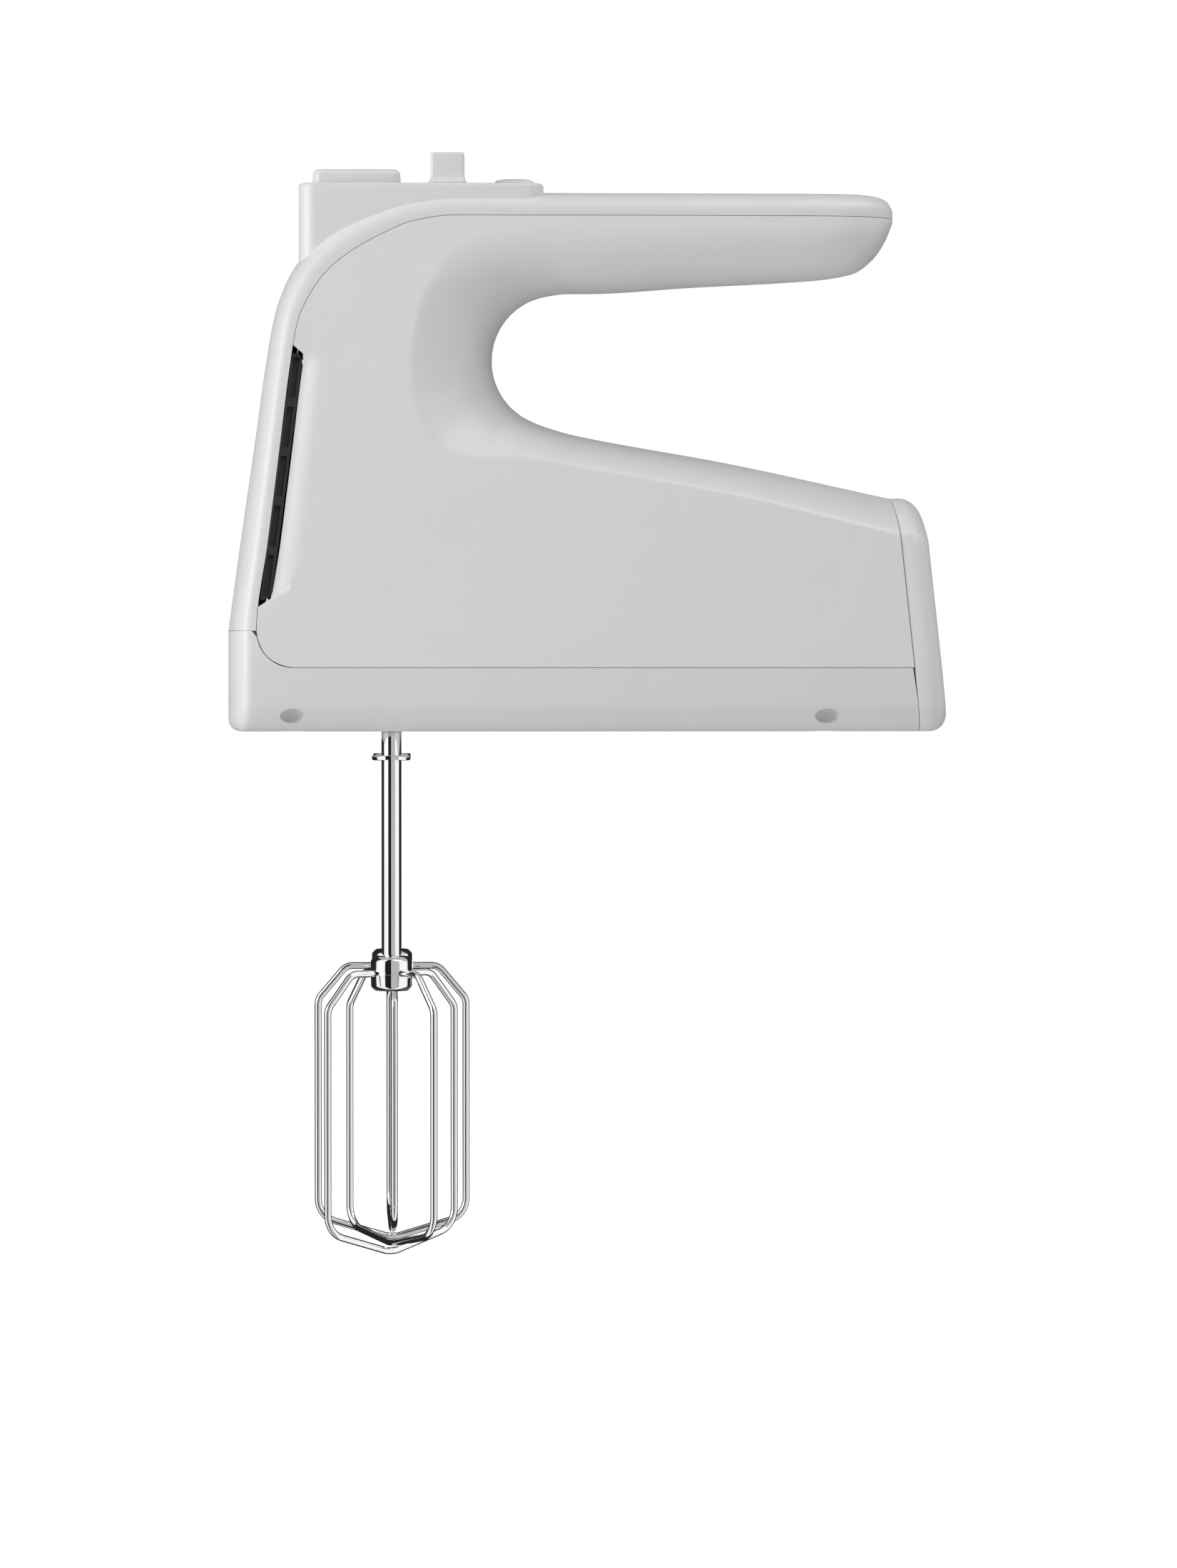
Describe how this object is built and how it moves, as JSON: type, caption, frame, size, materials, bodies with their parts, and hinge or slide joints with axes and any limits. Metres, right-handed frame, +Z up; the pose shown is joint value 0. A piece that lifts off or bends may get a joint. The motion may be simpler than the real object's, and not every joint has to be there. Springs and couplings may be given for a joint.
{
  "type": "hand mixer",
  "caption": "Hand mixer with a moulded body, finger opening, two counter-turning balloon whisks on a worm drive, eject button, speed slider and turbo button.",
  "frame": {"origin": "on the flat underside of the body, midway between the two whisk sockets", "axes": "+X towards the heel, +Y towards the right-hand side, +Z up along the whisks"},
  "size_m": [0.198, 0.086, 0.3055],
  "materials": {
    "white_abs": "satin moulded ABS, light grey-white",
    "grey_abs": "dark grey moulded plastic",
    "chrome": "bright chrome plated steel",
    "steel": "turned or drawn steel",
    "lamination": "stacked electrical steel with thin varnish",
    "copper": "enamelled copper wire and copper bars",
    "zinc": "die-cast zinc, matte",
    "acetal": "natural acetal",
    "bronze": "sintered bronze",
    "carbon": "black carbon or black switch housing",
    "board": "green solder mask",
    "rubber": "matte black rubber"
  },
  "bodies": {
    "housing": {"left_side_shell": "white_abs", "right_side_shell": "white_abs", "top_cover": "white_abs", "base_tray": "white_abs", "heel_cover": "white_abs", "left_vent_grille": "grey_abs", "right_vent_grille": "grey_abs", "control_bracket": "grey_abs", "case_screw_front_left": "steel", "case_screw_front_right": "steel", "case_screw_rear_left": "steel", "case_screw_rear_right": "steel", "eject_spring": "steel", "turbo_spring": "steel", "stator_core": "lamination", "lower_field_coil": "copper", "upper_field_coil": "copper", "gearbox_frame": "zinc", "rear_motor_bracket": "zinc", "left_brush_holder": "acetal", "right_brush_holder": "acetal", "front_bearing": "bronze", "middle_bearing": "bronze", "rear_bearing": "bronze", "left_spindle_bush": "bronze", "right_spindle_bush": "bronze", "left_carbon_brush": "carbon", "right_carbon_brush": "carbon", "suppression_capacitor": "carbon", "speed_switch": "carbon", "turbo_switch": "carbon", "control_board": "board", "cord_gland": "rubber"},
    "rotor": {"worm_shaft": "steel", "armature_core": "lamination", "armature_winding_front": "copper", "armature_winding_rear": "copper", "commutator": "copper", "cooling_fan": "acetal"},
    "eject_control": {"eject_button": "white_abs", "eject_fork": "acetal"},
    "slider_control": {"speed_slider": "white_abs", "slider_contact": "grey_abs"},
    "turbo_control": {"turbo_button": "white_abs"},
    "left_spindle": {"left_worm_wheel": "acetal", "left_drive_sleeve": "steel"},
    "left_pin": {"left_push_pin": "steel"},
    "left_whisk": {"left_whisk_shaft": "chrome", "left_whisk_collar": "chrome", "left_whisk_hub": "chrome", "left_whisk_loop_a": "chrome", "left_whisk_loop_b": "chrome"},
    "right_spindle": {"right_worm_wheel": "acetal", "right_drive_sleeve": "steel"},
    "right_pin": {"right_push_pin": "steel"},
    "right_whisk": {"right_whisk_shaft": "chrome", "right_whisk_collar": "chrome", "right_whisk_hub": "chrome", "right_whisk_loop_a": "chrome", "right_whisk_loop_b": "chrome"}
  },
  "joints": [
    {"name": "motor_spin", "type": "hinge", "parent": "housing", "child": "rotor", "pos_m": [0, 0, 0.027], "axis": [1, 0, 0], "continuous": true},
    {"name": "eject_press", "type": "slide", "parent": "housing", "child": "eject_control", "axis": [0, 0, -1], "range_m": [0, 0.004], "stiffness_N_per_m": 600, "springref_m": -0.004, "deforming": ["eject_spring"]},
    {"name": "speed_slide", "type": "slide", "parent": "housing", "child": "slider_control", "axis": [0, 1, 0], "range_m": [0, 0.024]},
    {"name": "turbo_press", "type": "slide", "parent": "housing", "child": "turbo_control", "axis": [0, 0, -1], "range_m": [0, 0.0015], "stiffness_N_per_m": 600, "springref_m": -0.002, "deforming": ["turbo_spring"]},
    {"name": "left_spin", "type": "hinge", "parent": "housing", "child": "left_spindle", "pos_m": [0, -0.021, 0], "axis": [0, 0, 1], "continuous": true},
    {"name": "left_pin_slide", "type": "slide", "parent": "left_spindle", "child": "left_pin", "axis": [0, 0, -1], "range_m": [0, 0.004]},
    {"name": "left_whisk_pull", "type": "slide", "parent": "left_pin", "child": "left_whisk", "axis": [0, 0, -1], "range_m": [0, 0.03]},
    {"name": "right_spin", "type": "hinge", "parent": "housing", "child": "right_spindle", "pos_m": [0, 0.021, 0], "axis": [0, 0, 1], "continuous": true},
    {"name": "right_pin_slide", "type": "slide", "parent": "right_spindle", "child": "right_pin", "axis": [0, 0, -1], "range_m": [0, 0.004]},
    {"name": "right_whisk_pull", "type": "slide", "parent": "right_pin", "child": "right_whisk", "axis": [0, 0, -1], "range_m": [0, 0.03]}
  ],
  "couplings": [
    {"joint": "left_spin", "follows": "motor_spin", "ratio": 0.071429},
    {"joint": "left_pin_slide", "follows": "eject_press", "ratio": 1},
    {"joint": "right_spin", "follows": "motor_spin", "ratio": -0.071429},
    {"joint": "right_pin_slide", "follows": "eject_press", "ratio": 1}
  ]
}
